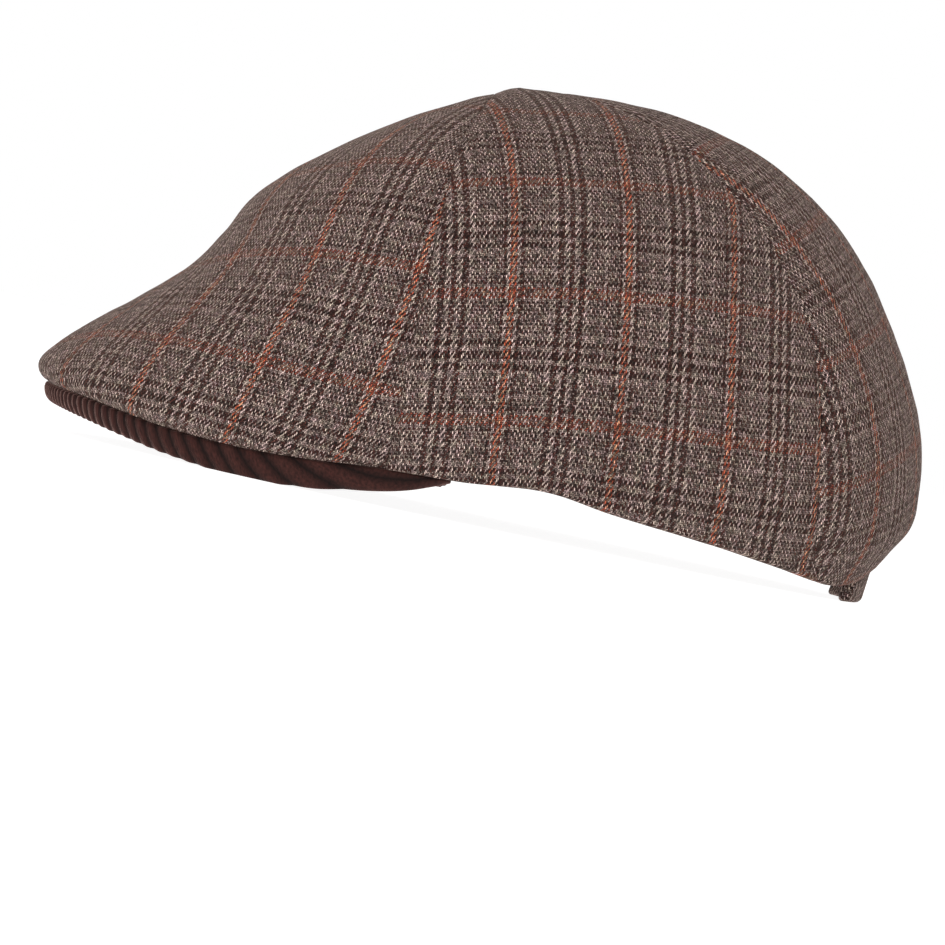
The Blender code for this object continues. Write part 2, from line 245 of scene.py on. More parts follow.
# Outlines round the peak, and points in each: the lip, the padding, the board's hidden top, the edge
# against the forehead and the underside. The wales are low by the cloth's edge
PEAK_STATIONS, LIP_POINTS, PADDING_POINTS, TOP_POINTS = 520, 22, 10, 12
EDGE_POINTS, UNDERSIDE_POINTS, NOTCH_WALE = 12, 42, 0.2

# Outlines along the band, points down each of its faces and round each side of its foot, how much
# rounder the foot is outside, how many points by the hem keep still, and where on the check's repeat
# its cloth and that of its ends starts
BAND_STATIONS, BAND_FACE_POINTS, BAND_FOOT_POINTS = 120, 9, 8
BAND_OUTER_ROUNDING, BAND_STILL_POINTS = 1.6, 2
BAND_WAVE, BAND_WAVE_LENGTH = 0.0002, 0.012
BAND_CLOTH_START, BAND_END_CLOTH_START = (0.0025, 0.0035), (0.0078, 0.0045)


def smooth(rows, at):
    """Values at places between (place, value) rows, on a smooth curve through them."""
    places, values = rows[:, 0], rows[:, 1]
    last = len(places) - 1
    i = np.clip(np.searchsorted(places, at) - 1, 0, last - 1)
    k = np.arange(last + 1)
    low, high = np.maximum(k - 1, 0), np.minimum(k + 1, last)
    slope = (values[high] - values[low]) / (places[high] - places[low])
    width = places[i + 1] - places[i]
    f = (at - places[i]) / width
    rise = values[i + 1] - values[i]
    a = slope[i] * width - rise
    b = rise - slope[i + 1] * width
    return values[i] + rise * f + f * (1 - f) * (a * (1 - f) + b * f)


def level_value(column, level):
    places = np.arange(len(LEVELS), dtype=float)
    return smooth(np.stack([places, LEVELS[:, column]], 1), level)


def ease(share):
    share = np.clip(share, 0.0, 1.0)
    return share * share * (3 - 2 * share)


def lerp(a, b, f):
    return a + (b - a) * f


def unit(v):
    return v / np.maximum(np.linalg.norm(v, axis=-1, keepdims=True), 1e-12)


def running(steps, axis):
    """Lengths along a grid's lines from their start, out of the lengths of their steps."""
    before = np.zeros_like(steps.take([0], axis))
    return np.concatenate([before, np.cumsum(steps, axis)], axis)


def blended_height(angle, level):
    end = np.where(angle < math.pi / 2, level_value(FRONT_UP, level), level_value(BACK_UP, level))
    blend = TOP_BLEND + (LOW_BLEND - TOP_BLEND) * ease(level / BLEND_LEVEL)
    along = np.abs(np.cos(angle)) ** blend
    return end * along + level_value(SIDE_UP, level) * (1 - along)


def skin(angle, level):
    """Points on the outside of the cap's left half. The angle goes from 0 at the tip to pi at the back."""
    angle, level = np.broadcast_arrays(np.asarray(angle, float), np.asarray(level, float))
    c, s = np.abs(np.cos(angle)), np.maximum(np.sin(angle), 0.0)
    front = angle < math.pi / 2
    power = 2 / np.where(front, FRONT_FULLNESS, BACK_FULLNESS)
    ahead, behind = -PEAK_REACH * level_value(FRONT_OUT, level), BACK_REACH * level_value(BACK_OUT, level)
    rim = smooth(RIM, np.degrees(angle)) - blended_height(angle, np.full(angle.shape, RIM_LEVEL))
    fade = ease((level - RIM_FADE_LEVEL) / (RIM_LEVEL - RIM_FADE_LEVEL))
    return np.stack([
        HALF_WIDTH * level_value(SIDE_OUT, level) * s ** power - SEAM_OVERLAP / 2,
        np.where(front, ahead, behind) * c ** power + SHIFT,
        CROWN_HEIGHT * (blended_height(angle, level) + rim * fade),
    ], -1)


def directions(angle, level):
    """Unit vectors on the skin: out of the cap, and down along the cloth towards the rim."""
    step = 1e-3
    angle = np.clip(angle, step, math.pi - step)
    level = np.clip(level, step, RIM_LEVEL - step)
    around = skin(angle + step, level) - skin(angle - step, level)
    down = skin(angle, level + step) - skin(angle, level - step)
    return unit(np.cross(down, around)), unit(down)


def centre_front(level):
    return np.zeros_like(level)


def front_seam(level):
    return np.arccos(np.minimum(level_value(SEAM_FRONT, level), 1.0) ** (FRONT_FULLNESS / 2))


def back_seam(level):
    return math.pi - np.arccos(np.minimum(level_value(SEAM_BACK, level), 1.0) ** (BACK_FULLNESS / 2))


def centre_back(level):
    return np.full_like(level, math.pi)


# Each kind of panel: its seams, where it starts, whether its rim is hemmed, its columns and rows, and
# where in its grid the centre seam runs
PANELS = {
    "front": (centre_front, front_seam, PANEL_START, False, 130, 170, np.s_[:, 0]),
    "side": (front_seam, back_seam, SIDE_START, True, 150, 170, np.s_[0, :]),
    "back": (back_seam, centre_back, PANEL_START, True, 80, 170, np.s_[:, -1]),
}


def basis(q, degree):
    """Products of powers of flat places, up to a degree, and their slopes along both axes."""
    unit_length = 0.05
    a, b = q[..., 0] / unit_length, q[..., 1] / unit_length
    powers = [(i, j) for i in range(degree + 1) for j in range(degree + 1 - i)]
    value = np.stack([a ** i * b ** j for i, j in powers], -1)
    slope_a = np.stack([i * a ** max(i - 1, 0) * b ** j for i, j in powers], -1) / unit_length
    slope_b = np.stack([j * a ** i * b ** max(j - 1, 0) for i, j in powers], -1) / unit_length
    return value, slope_a, slope_b


def flattened(grid):
    """Lays a grid of points out flat, as if its cloth were cut there, with springs that keep lengths."""
    rows, columns = grid.shape[:2]
    number = np.arange(rows * columns).reshape(rows, columns)
    pairs = [
        (number[:, :-1], number[:, 1:]), (number[:-1], number[1:]),
        (number[:-1, :-1], number[1:, 1:]), (number[:-1, 1:], number[1:, :-1]),
    ]
    ends = np.concatenate([np.stack([a.ravel(), b.ravel()], 1) for a, b in pairs])
    points = grid.reshape(-1, 3)
    rest = np.linalg.norm(points[ends[:, 0]] - points[ends[:, 1]], axis=1)
    across = running(np.linalg.norm(np.diff(grid, axis=1), axis=2), 1)
    middle = columns // 2
    down = running(np.linalg.norm(np.diff(grid[:, middle], axis=0), axis=1), 0)
    across = across - across[:, middle:middle + 1]
    flat = np.stack([across, np.repeat(-down[:, None], columns, 1)], -1).reshape(-1, 2)
    held = np.bincount(ends.ravel(), minlength=rows * columns)[:, None]
    for _ in range(FLATTENING_ROUNDS):
        gap = flat[ends[:, 1]] - flat[ends[:, 0]]
        length = np.maximum(np.linalg.norm(gap, axis=1), 1e-9)
        pull = gap * ((length - rest) / length * 0.5)[:, None]
        move = np.zeros_like(flat)
        for axis in (0, 1):
            move[:, axis] += np.bincount(ends[:, 0], pull[:, axis], rows * columns)
            move[:, axis] -= np.bincount(ends[:, 1], pull[:, axis], rows * columns)
        flat += move / held * SPRING_PUSH
    return (flat - flat.mean(0)).reshape(rows, columns, 2)


def camera_axes():
    """The camera's place, and the picture's right, up and forward in the frame."""
    forward = np.array((-math.cos(ELEVATION), 0.0, -math.sin(ELEVATION)))
    level_right = np.array((0.0, 1.0, 0.0))
    level_up = np.cross(level_right, forward)
    right = math.cos(ROLL) * level_right + math.sin(ROLL) * level_up
    up = math.cos(ROLL) * level_up - math.sin(ROLL) * level_right
    return AIM - forward * DISTANCE, right, up, forward


def in_picture(points):
    """Pixels of the photo's frame."""
    place, right, up, forward = camera_axes()
    offset = points - place
    scale = DISTANCE / PIXEL / (offset @ forward)
    return np.stack([PICTURE / 2 + offset @ right * scale, PICTURE / 2 - offset @ up * scale], -1)


def check_places(kind):
    """Cloth places (across, along) in metres on a grid of the panel: there the check meets its lines."""
    first, last, start = PANELS[kind][:3]

    def grid(rows, columns):
        level = lerp(start, RIM_LEVEL, np.linspace(0, 1, rows))[:, None]
        share = np.linspace(0, 1, columns)[None]
        return skin(lerp(first(level), last(level), share), level)

    flat = flattened(grid(FLAT_ROWS, FLAT_COLUMNS))
    fine_rows, fine_columns = (FLAT_ROWS - 1) * FINER + 1, (FLAT_COLUMNS - 1) * FINER + 1
    fine = grid(fine_rows, fine_columns)
    fine_flat = resampled(
        flat, np.linspace(0, 1, fine_rows)[:, None] * np.ones(fine_columns),
        np.linspace(0, 1, fine_columns)[None] * np.ones((fine_rows, 1)),
    )
    pixels = in_picture(fine)
    normal = unit(np.cross(np.gradient(fine, axis=0), np.gradient(fine, axis=1)))
    facing = (unit(camera_axes()[0] - fine) * normal).sum(-1)
    facing *= np.sign(np.median(facing))
    hidden = np.where(facing < 0, HIDDEN_PIXELS, 0.0)

    def nearest(pixel):
        far = np.linalg.norm(pixels - np.array(pixel), axis=-1) + hidden
        return np.unravel_index(np.argmin(far), far.shape)

    places = []
    inner = flat[1::2, ::2].reshape(-1, 2)
    for lines, repeat in ((WARP_LINES, WARP_REPEAT), (WEFT_LINES, WEFT_REPEAT)):
        traced = [(nearest(pixel), number) for number, line in lines[kind].items() for pixel in line]
        at = np.array([fine_flat[where] for where, number in traced])
        value = np.array([number * repeat for where, number in traced])
        # A line counts for as much as the picture shows of it
        seen = np.array([max(facing[where], LEAST_SEEN) for where, number in traced])
        plane = np.linalg.lstsq(basis(at, 1)[0] * seen[:, None], value * seen, rcond=None)[0]
        course = unit(np.array((plane[2], plane[1])))
        # The cloth neither stretches nor shrinks much, which decides what the lines leave open
        hold = STRETCH_HOLD * math.sqrt(len(value) / len(inner))
        slope_a, slope_b = basis(inner, CHECK_DEGREE)[1:]
        ones = np.full(len(inner), hold)
        system = np.vstack([basis(at, CHECK_DEGREE)[0] * seen[:, None], slope_a * hold, slope_b * hold])
        target = np.concatenate([value * seen, ones * course[0], ones * course[1]])
        weights = np.linalg.lstsq(system, target, rcond=None)[0]
        places.append(basis(flat, CHECK_DEGREE)[0] @ weights)
    return np.stack(places, -1)


def resampled(grid, down, across):
    """A grid's values at shares down and across it, on smooth curves that run straight off its borders."""
    rows, columns = grid.shape[:2]
    grid = np.concatenate([2 * grid[:1] - grid[1:2], grid, 2 * grid[-1:] - grid[-2:-1]])
    grid = np.concatenate([2 * grid[:, :1] - grid[:, 1:2], grid, 2 * grid[:, -1:] - grid[:, -2:-1]], axis=1)

    def weights(share, count):
        at = np.clip(share, 0, 1) * (count - 1)
        i = np.minimum(at.astype(int), count - 2)
        f = at - i
        w = (
            ((2 - f) * f - 1) * f / 2, ((3 * f - 5) * f * f + 2) / 2,
            ((4 - 3 * f) * f + 1) * f / 2, (f - 1) * f * f / 2,
        )
        return [(i + k, w[k]) for k in range(4)]

    total = 0.0
    for i, wi in weights(down, rows):
        for j, wj in weights(across, columns):
            total = total + grid[i, j] * (wi * wj)[..., None]
    return total


# Meshes

def field(points, length, seed):
    """A smooth random field between -1 and 1, with waves of about that length."""
    flat = points.reshape(-1, 3) / length + seed * SEED_STEP
    return np.array([noise.noise(Vector(p)) for p in flat]).reshape(points.shape[:-1])


def quads(rows, columns):
    a = (np.arange(rows - 1)[:, None] * columns + np.arange(columns - 1)[None]).ravel()
    return np.stack([a, a + columns, a + columns + 1, a + 1], 1)


def tube(stations, size):
    """Faces between closed outlines of so many points each."""
    j, i = np.arange(stations - 1)[:, None], np.arange(size)[None]
    a, b = (j * size + i).ravel(), (j * size + (i + 1) % size).ravel()
    return np.stack([a, a + size, b + size, b], 1)


def border(rows, columns):
    """The grid's border as a closed loop of point numbers, and which of them are on the rim."""
    loop = list(range(columns))
    loop += [j * columns + columns - 1 for j in range(1, rows)]
    loop += [(rows - 1) * columns + i for i in range(columns - 2, -1, -1)]
    loop += [j * columns for j in range(rows - 2, 0, -1)]
    loop = np.array(loop)
    return loop, loop >= (rows - 1) * columns


def add_mesh(name, points, faces, places, material):
    """A smooth closed mesh with its cloth places in metres as a UV map."""
    mesh = bpy.data.meshes.new(name)
    mesh.from_pydata(points.tolist(), [], faces)
    mesh.validate()
    mesh.shade_smooth()
    layer = mesh.uv_layers.new(name="cloth")
    corners = np.zeros(len(mesh.loops), int)
    mesh.loops.foreach_get("vertex_index", corners)
    layer.data.foreach_set("uv", places[corners].ravel())
    mesh.materials.append(material)
    piece = bpy.data.objects.new(name, mesh)
    bpy.context.scene.collection.objects.link(piece)
    return piece


# Panels of cloth

def crowded(count):
    """Shares from 0 to 1 that crowd towards both ends, where the cloth rolls into its seams."""
    share = np.linspace(0, 1, count + 1)
    return share - CROWDING * np.sin(2 * math.pi * share) / (2 * math.pi)


def rounding(distance, roll):
    """How far a rounded edge falls, as a share of its roll, at a distance from where it ends."""
    x = np.clip(1 - distance / roll, 0, 1)
    return 1 - np.sqrt(np.maximum(1 - x * x, 0))


def seam_relief(distance):
    """How far the skin lies below its own surface at a distance from a seam."""
    return SEAM_ROLL * rounding(distance, SEAM_ROLL) + SEAM_VALLEY * np.exp(-(distance / SEAM_WIDTH) ** 2)


def rolled_cloth(distance):
    """How much more cloth lies in a seam's roll than its width shows, at a distance from the seam."""
    x = np.clip(1 - distance / SEAM_ROLL, 0, 1)
    return SEAM_ROLL * (np.arcsin(x) - x)


def cloth_at(level, hemmed):
    """The cloth's thickness, which grows towards a hem."""
    if not hemmed:
        return np.full_like(level, CLOTH)
    full = RIM_LEVEL - HEM_FULL_LEVELS
    return CLOTH + (HEM_CLOTH - CLOTH) * ease(1 - (full - level) / HEM_LEVELS)


def wall(outer, inner, places, down, rim_cloth):
    """Points, faces and cloth places of two grids joined by rounded edges, and by a fold at the rim."""
    rows, columns = outer.shape[:2]
    size = rows * columns
    loop, on_rim = border(rows, columns)
    a, b = outer.reshape(-1, 3)[loop], inner.reshape(-1, 3)[loop]
    at = places.reshape(-1, 2)[loop]
    course = unit(places[-1] - places[-2])
    course_at = np.zeros_like(at)
    course_at[on_rim] = course[loop[on_rim] - (rows - 1) * columns]
    fold = np.where(on_rim, rim_cloth / 2, 0.0)[:, None] * down.reshape(-1, 3)[loop]
    rings, ring_places = [], []
    for k in range(1, EDGE_STEPS):
        turn = math.pi * k / EDGE_STEPS
        rings.append((a + b) / 2 + (a - b) / 2 * math.cos(turn) + fold * math.sin(turn))
        ring_places.append(at + course_at * rim_cloth / 2 * turn)
    points = np.concatenate([outer.reshape(-1, 3), inner.reshape(-1, 3), *rings])
    uv = np.concatenate([places.reshape(-1, 2), places.reshape(-1, 2), *ring_places])
    faces = [quads(rows, columns), quads(rows, columns)[:, ::-1] + size]
    n = len(loop)
    numbers = [loop] + [2 * size + k * n + np.arange(n) for k in range(EDGE_STEPS - 1)] + [loop + size]
    for one, two in zip(numbers, numbers[1:]):
        faces.append(np.stack([one, np.roll(one, -1), np.roll(two, -1), two], 1))
    return points, np.concatenate(faces), uv


def panel(kind, check, side, material):
    """A cloth panel of the cap's left half, or mirrored as that of its right half."""
    first, last, start, hemmed, columns, rows, centre = PANELS[kind]
    share, down_share = crowded(columns), crowded(rows)
    # The rim's fold reaches down to the rim, so the grid ends half the cloth's thickness above it
    rim_cloth = HEM_CLOTH if hemmed else CLOTH
    end = np.full(columns + 1, RIM_LEVEL)
    angle = lerp(first(end), last(end), share)
    a_little = 0.1
    metres_a_level = np.linalg.norm(skin(angle, end) - skin(angle, end - a_little), axis=-1) / a_little
    end = end - rim_cloth / 2 / metres_a_level
    level = lerp(start, end[None], down_share[:, None])

    # The panel reaches over its seams by half the overlap. The centre seams' points are set below
    low, high = first(level), last(level)
    line = skin(lerp(low, high, share), level)
    pieces = np.linalg.norm(np.diff(line, axis=1), axis=-1)
    width = pieces.sum(1, keepdims=True)
    overlap = (high - low) * SEAM_OVERLAP / 2 / width
    low = low - (overlap if kind != "front" else 0)
    high = high + (overlap if kind != "back" else 0)
    angle = lerp(low, high, share)
    base = skin(angle, level)
    out, down = directions(angle, level)

    from_first = running(pieces, 1)
    to_last = width - from_first
    nearest = np.minimum(from_first, to_last)
    drop = running(np.linalg.norm(np.diff(base, axis=0), axis=-1), 0)
    if kind == "side":
        nearest = np.minimum(nearest, drop)
    relief = -seam_relief(nearest)
    soft = 1.0
    if kind == "front":
        # The cloth rolls under round the peak's edge, and lies calmer on the peak's board
        relief -= EDGE_TUCK * rounding(drop[-1] - drop, EDGE_ROLL)
        soft = 1 - BOARD_CALM * ease((level - CALM_LEVEL) / CALM_LEVELS)
    # The waves and puckers differ on the cap's two halves
    there = base * (side, 1, 1)
    ripples = RIPPLE * field(there, RIPPLE_LENGTH, RIPPLE_SEED)
    waves = soft * (WAVE * field(there, WAVE_LENGTH, WAVE_SEED) + ripples) * ease(nearest / STILL_WIDTH)
    puckers = PUCKER * field(there, PUCKER_LENGTH, PUCKER_SEED) * np.exp(-(nearest / PUCKER_REACH) ** 2)
    middle = base + out * waves[..., None]
    outer = middle + out * (relief + puckers)[..., None]
    inner = middle - out * cloth_at(level, hemmed)[..., None]
    for grid in (outer, inner):
        grid[..., 0] = np.maximum(grid[..., 0], -SEAM_OVERLAP / 2)
        grid[(*centre, 0)] = -SEAM_OVERLAP / 2

    places = resampled(check, (level - start) / (RIM_LEVEL - start), np.broadcast_to(share, level.shape))
    across = np.gradient(places, axis=1) / np.gradient(from_first, axis=1)[..., None]
    places = places + across * (rolled_cloth(to_last) - rolled_cloth(from_first))[..., None]
    # The weave has one right side, so its slant isn't mirrored with the panel
    places = places * (side, 1)
    points, faces, uv = wall(outer, inner, places, down, rim_cloth)
    if side < 0:
        points, faces = points * (-1, 1, 1), faces[:, ::-1]
    name = f"{kind}_cloth_{'left' if side > 0 else 'right'}"
    return add_mesh(name, points, faces.tolist(), uv, material)


# The peak's corduroy cover

def lip_points(angle, hemmed):
    """The lip from its underside up to the cloth's edge, each point's drop from there, and a corner.

    The corner lies behind the cloth's edge, where the padding under the cloth starts.
    """
    rim = skin(angle, RIM_LEVEL)
    out, down = directions(angle, RIM_LEVEL)
    level_out = unit(out * (1, 1, 0))
    notch = rim + down * PEAK_GAP - out * LIP_NOTCH
    height = LIP_HEIGHT * smooth(LIP, np.degrees(angle))
    turn = np.linspace(math.pi, 0, LIP_POINTS)
    fall = (1 - np.cos(turn)) / 2
    inward = (LIP_DEPTH - LIP_NOTCH) * fall - LIP_BULGE * np.sin(turn)
    drop = height * fall
    points = notch - level_out * inward[:, None] - np.array((0, 0, 1.0)) * drop[:, None]
    behind = (HEM_CLOTH if hemmed else CLOTH) + PADDING_GAP
    return points, drop, rim + down * PEAK_GAP - out * behind


def peak_outline(angle):
    """The padded board's outline at an angle from the tip, its drop for the wales, and their strength."""
    hemmed = angle > float(front_seam(RIM_LEVEL)) - math.radians(HEM_ROOM)
    lip, drop, corner = lip_points(angle, hemmed)
    c, s = math.cos(angle), math.sin(angle)
    ahead = max(c, 0.0)
    padded = PADDED_LEVELS * (ahead ** PADDING_POWER + PADDED_LEAST)
    level = RIM_LEVEL - padded * np.linspace(0, 1, PADDING_POINTS)[1:]
    inward = cloth_at(level, hemmed) + PADDING_GAP
    padding = skin(angle, level) - directions(angle, level)[0] * inward[:, None]
    board = BOARD * (1 + float(smooth(LIP, np.degrees(angle)))) / 2
    temple = skin(math.pi / 2, RIM_LEVEL)
    edge = np.array((
        (temple[0] - HEM_CLOTH - BOARD) * s,
        SHIFT - FOREHEAD_REACH * c,
        temple[2] - PEAK_GAP - board / 2 + FOREHEAD_RISE * ahead ** FOREHEAD_CURVE,
    ))
    along = unit(edge - lip[0])
    across = unit(np.cross(along, (-c, -s, 0)))
    middle = edge + across * board / 2
    turn = np.linspace(0, math.pi, EDGE_POINTS)[:, None]
    free_edge = middle + (across * np.cos(turn) + along * np.sin(turn)) * board / 2
    f = np.linspace(1, 0, UNDERSIDE_POINTS)[1:-1, None]
    underside = lerp(lip[0], edge, f) + np.array((0, 0, 1.0)) * BOARD_BOW * 4 * f * (1 - f) * c
    top = lerp(padding[-1], free_edge[0], np.linspace(0, 1, TOP_POINTS)[1:-1, None])
    outline = np.concatenate([padding, top, free_edge, underside, lip, corner[None]])
    waled = np.ones(len(outline))
    waled[:len(padding) + len(top)] = 0
    waled[-1] = 0
    waled[-2] = NOTCH_WALE
    low = np.full(len(outline), drop[0])
    low[-len(lip) - 1:-1] = drop
    low[-1] = 0
    return outline, low, waled


def peak(material):
    """The peak's board and padding in their cover, as one closed mesh."""
    angles = math.radians(LIP[-1, 0]) * np.linspace(-1, 1, PEAK_STATIONS)
    outlines, lows, strengths = [], [], []
    for angle in angles:
        outline, low, waled = peak_outline(abs(angle))
        outlines.append(outline * (-1 if angle < 0 else 1, 1, 1))
        lows.append(low)
        strengths.append(waled)
    grid, low, waled = np.array(outlines), np.array(lows), np.array(strengths)
    around = np.roll(grid, -1, 1) - np.roll(grid, 1, 1)
    out = unit(np.cross(np.gradient(grid, axis=0), around))
    # Up the lip each wale keeps to one line, whatever the lip's bulge
    foot = low.max(1)[:, None]
    foot_at = grid[:, -LIP_POINTS - 1, :1]
    lean = WALE_LEAN * (foot - low) * np.sin(angles)[:, None]
    across = np.where(low < foot, foot_at, grid[..., 0]) + lean
    across = across + WALE_SWAY * field(grid, WALE_SWAY_LENGTH, WALE_SEED)
    phase = across / WALE - np.floor(across / WALE)
    ridge = 1 - np.abs(2 * phase - 1) ** WALE_POWER
    grid = grid + out * (WALE_HEIGHT * (ridge - WALE_SINK) * waled)[..., None]
    grid[..., 2] = np.maximum(grid[..., 2], 0.0)
    stations, size = grid.shape[:2]
    points, faces = grid.reshape(-1, 3), tube(stations, size).tolist()
    uv = np.stack([across, grid[..., 1]], -1).reshape(-1, 2)
    # Each end closes on a point of its own, with faces that look outwards
    first_ring = np.arange(size)
    for ring, order in ((first_ring, 1), (first_ring + (stations - 1) * size, -1)):
        centre = np.full(size, len(points))
        points = np.concatenate([points, points[ring].mean(0)[None]])
        uv = np.concatenate([uv, uv[ring].mean(0)[None]])
        sides = (ring, np.roll(ring, -1))[::order]
        faces += np.stack([*sides, centre], 1).tolist()
    return add_mesh("peak_cover", points, faces, uv, material)


# The band under the back hem

def band_outline(top):
    """Places (inward, up) down the band's outer face, round its foot and up its inner face."""
    outside, inside = min(BAND_ROUNDING * BAND_OUTER_ROUNDING, top / 2), min(BAND_ROUNDING, top / 2)
    turns = np.linspace(0, math.pi / 2, BAND_FOOT_POINTS)
    shares = np.linspace(0, 1, BAND_FACE_POINTS)
    outline = [(BAND_SET_BACK, lerp(top, outside, share)) for share in shares[:-1]]
    outline += [(BAND_SET_BACK + outside * (1 - math.cos(a)), outside * (1 - math.sin(a))) for a in turns]
    outline += [(BAND_WALL - inside * (1 - math.cos(a)), inside * (1 - math.sin(a))) for a in turns[::-1]]
    return outline + [(BAND_WALL, lerp(inside, top, share)) for share in shares[1:]]


def band(material):
    """A fold of cloth that follows the back rim."""
    end = math.radians(BAND_END)
    outlines = []
    for turn in np.linspace(-end, end, BAND_STATIONS):
        angle = math.pi - abs(turn)
        rim = skin(angle, RIM_LEVEL)
        out = unit(directions(angle, RIM_LEVEL)[0] * (1, 1, 0))
        top = rim[2] - PEAK_GAP
        foot = rim * (1, 1, 0)
        inward, up = np.array(band_outline(top)).T[..., None]
        line = foot - out * (inward + BAND_LEAN * (1 - up / top)) + up * (0, 0, 1)
        outlines.append(line * (-1 if turn < 0 else 1, 1, 1))
    grid = np.array(outlines)
    stations, size = grid.shape[:2]
    wave = field(grid, BAND_WAVE_LENGTH, BAND_SEED) * BAND_WAVE
    still = BAND_STILL_POINTS
    grid[:, still:-still, :2] *= 1 + wave[:, still:-still, None]
    lengths = running(np.linalg.norm(np.diff(grid[:, 0], axis=0), axis=-1), 0)
    girths = running(np.linalg.norm(np.diff(grid, axis=1), axis=-1), 1)
    points, faces = grid.reshape(-1, 3), tube(stations, size).tolist()
    uv = np.stack([np.repeat(lengths[:, None], size, 1), girths], -1).reshape(-1, 2) + BAND_CLOTH_START
    # The end faces have points of their own, with the cloth laid straight across them
    for ring, numbers in ((grid[0], range(size)), (grid[-1], range(size - 1, -1, -1))):
        faces.append([len(points) + i for i in numbers])
        points = np.concatenate([points, ring])
        inward = np.linalg.norm((ring - ring[0])[:, :2], axis=1)
        uv = np.concatenate([uv, np.stack([inward, ring[:, 2]], 1) + BAND_END_CLOTH_START])
    return add_mesh("back_hem_band", points, faces, uv, material)


# Materials

class Graph:
    """Makes shader nodes of a material or a world, and joins them."""

    def __init__(self, owner):
        self.nodes = owner.node_tree.nodes
        self.links = owner.node_tree.links

    def node(self, kind, inputs=(), **settings):
        made = self.nodes.new(kind)
        for key, value in settings.items():
            setattr(made, key, value)
        for key, value in dict(inputs).items():
            self.put(made.inputs[key], value)
        return made

    def put(self, socket, value):
        if isinstance(value, bpy.types.NodeSocket):
            self.links.new(value, socket)
        else:
            socket.default_value = value

    def math(self, operation, *values):
        return self.node("ShaderNodeMath", dict(enumerate(values)), operation=operation).outputs[0]

    def noise(self, place, waves, detail, **inputs):
        inputs = {"Vector": place, "Scale": waves, "Detail": detail, **inputs}
        return self.node("ShaderNodeTexNoise", inputs).outputs

    def either(self, share, a, b):
        """A number between two others."""
        return self.node("ShaderNodeMix", {0: share, 2: a, 3: b}).outputs[0]

    def mix(self, share, a, b):
        """A colour between two others."""
        return self.node("ShaderNodeMix", {0: share, 6: a, 7: b}, data_type="RGBA").outputs[2]

    def tint(self, colour, share):
        """The colour times a share."""
        return self.node("ShaderNodeVectorMath", {0: colour, "Scale": share}, operation="SCALE").outputs[0]

    def bump(self, shader, strength, distance, height):
        inputs = {"Strength": strength, "Distance": distance, "Height": height}
        self.put(shader.inputs["Normal"], self.node("ShaderNodeBump", inputs).outputs[0])


def new_material(name, values):
    """A material with these values on its shader, the shader, and a graph for more nodes."""
    material = bpy.data.materials.new(name)
    material.use_nodes = True
    shader = material.node_tree.nodes["Principled BSDF"]
    graph = Graph(material)
    for key, value in values.items():
        graph.put(shader.inputs[key], value)
    return material, shader, graph


def yarn_colour(g, number, chart, yarn, chance):
    """The colour of a yarn by its number: the chart runs out from a rust line to mid-pane and back."""
    half = len(chart)
    turned = g.math("FLOORED_MODULO", g.math("ADD", number, float(half)), 2.0 * half)
    place = g.math("DIVIDE", g.math("ABSOLUTE", g.math("SUBTRACT", turned, half - 0.5)), float(half))
    ramp = g.node("ShaderNodeValToRGB", {0: place})
    ramp.color_ramp.interpolation = "CONSTANT"
    stops = ramp.color_ramp.elements
    stops[0].position, stops[0].color = 0.0, yarn[chart[0]]
    stops.remove(stops[1])
    for k in range(1, half):
        if chart[k] != chart[k - 1]:
            stops.new(k / half).color = yarn[chart[k]]
    mottled = g.math("MULTIPLY_ADD", chance, GROUND_CHANCE, GROUND_SHIFT)
    mottled = g.math("MULTIPLY_ADD", g.math("FLOORED_MODULO", number, 2.0), GROUND_TURN, mottled)
    by_turns = g.mix(mottled, yarn["L"], yarn["D"])
    return g.mix(ramp.outputs["Alpha"], by_turns, ramp.outputs["Color"])


